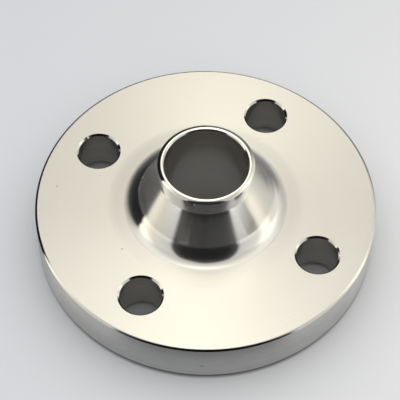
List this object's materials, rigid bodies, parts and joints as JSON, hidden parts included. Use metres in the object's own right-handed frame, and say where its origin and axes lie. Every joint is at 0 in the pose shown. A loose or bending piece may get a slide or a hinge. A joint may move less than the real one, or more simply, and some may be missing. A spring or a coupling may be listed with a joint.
{
  "type": "weld neck flange",
  "caption": "Weld neck pipe flange in machined stainless steel: a drilled round plate with a raised gasket face and a tapered hub that ends in a weld bevel.",
  "frame": {"origin": "on the bore axis, in the plane of the raised gasket face that the part lies on", "axes": "+Z along the bore towards the weld end, +X and +Y midway between neighbouring bolt holes"},
  "size_m": [0.115, 0.115, 0.04],
  "materials": {
    "stainless_steel": "bright machined stainless steel, faced on the lathe, with a polished hub"
  },
  "bodies": {
    "root": {"weld_neck_flange": "stainless_steel"}
  },
  "joints": []
}
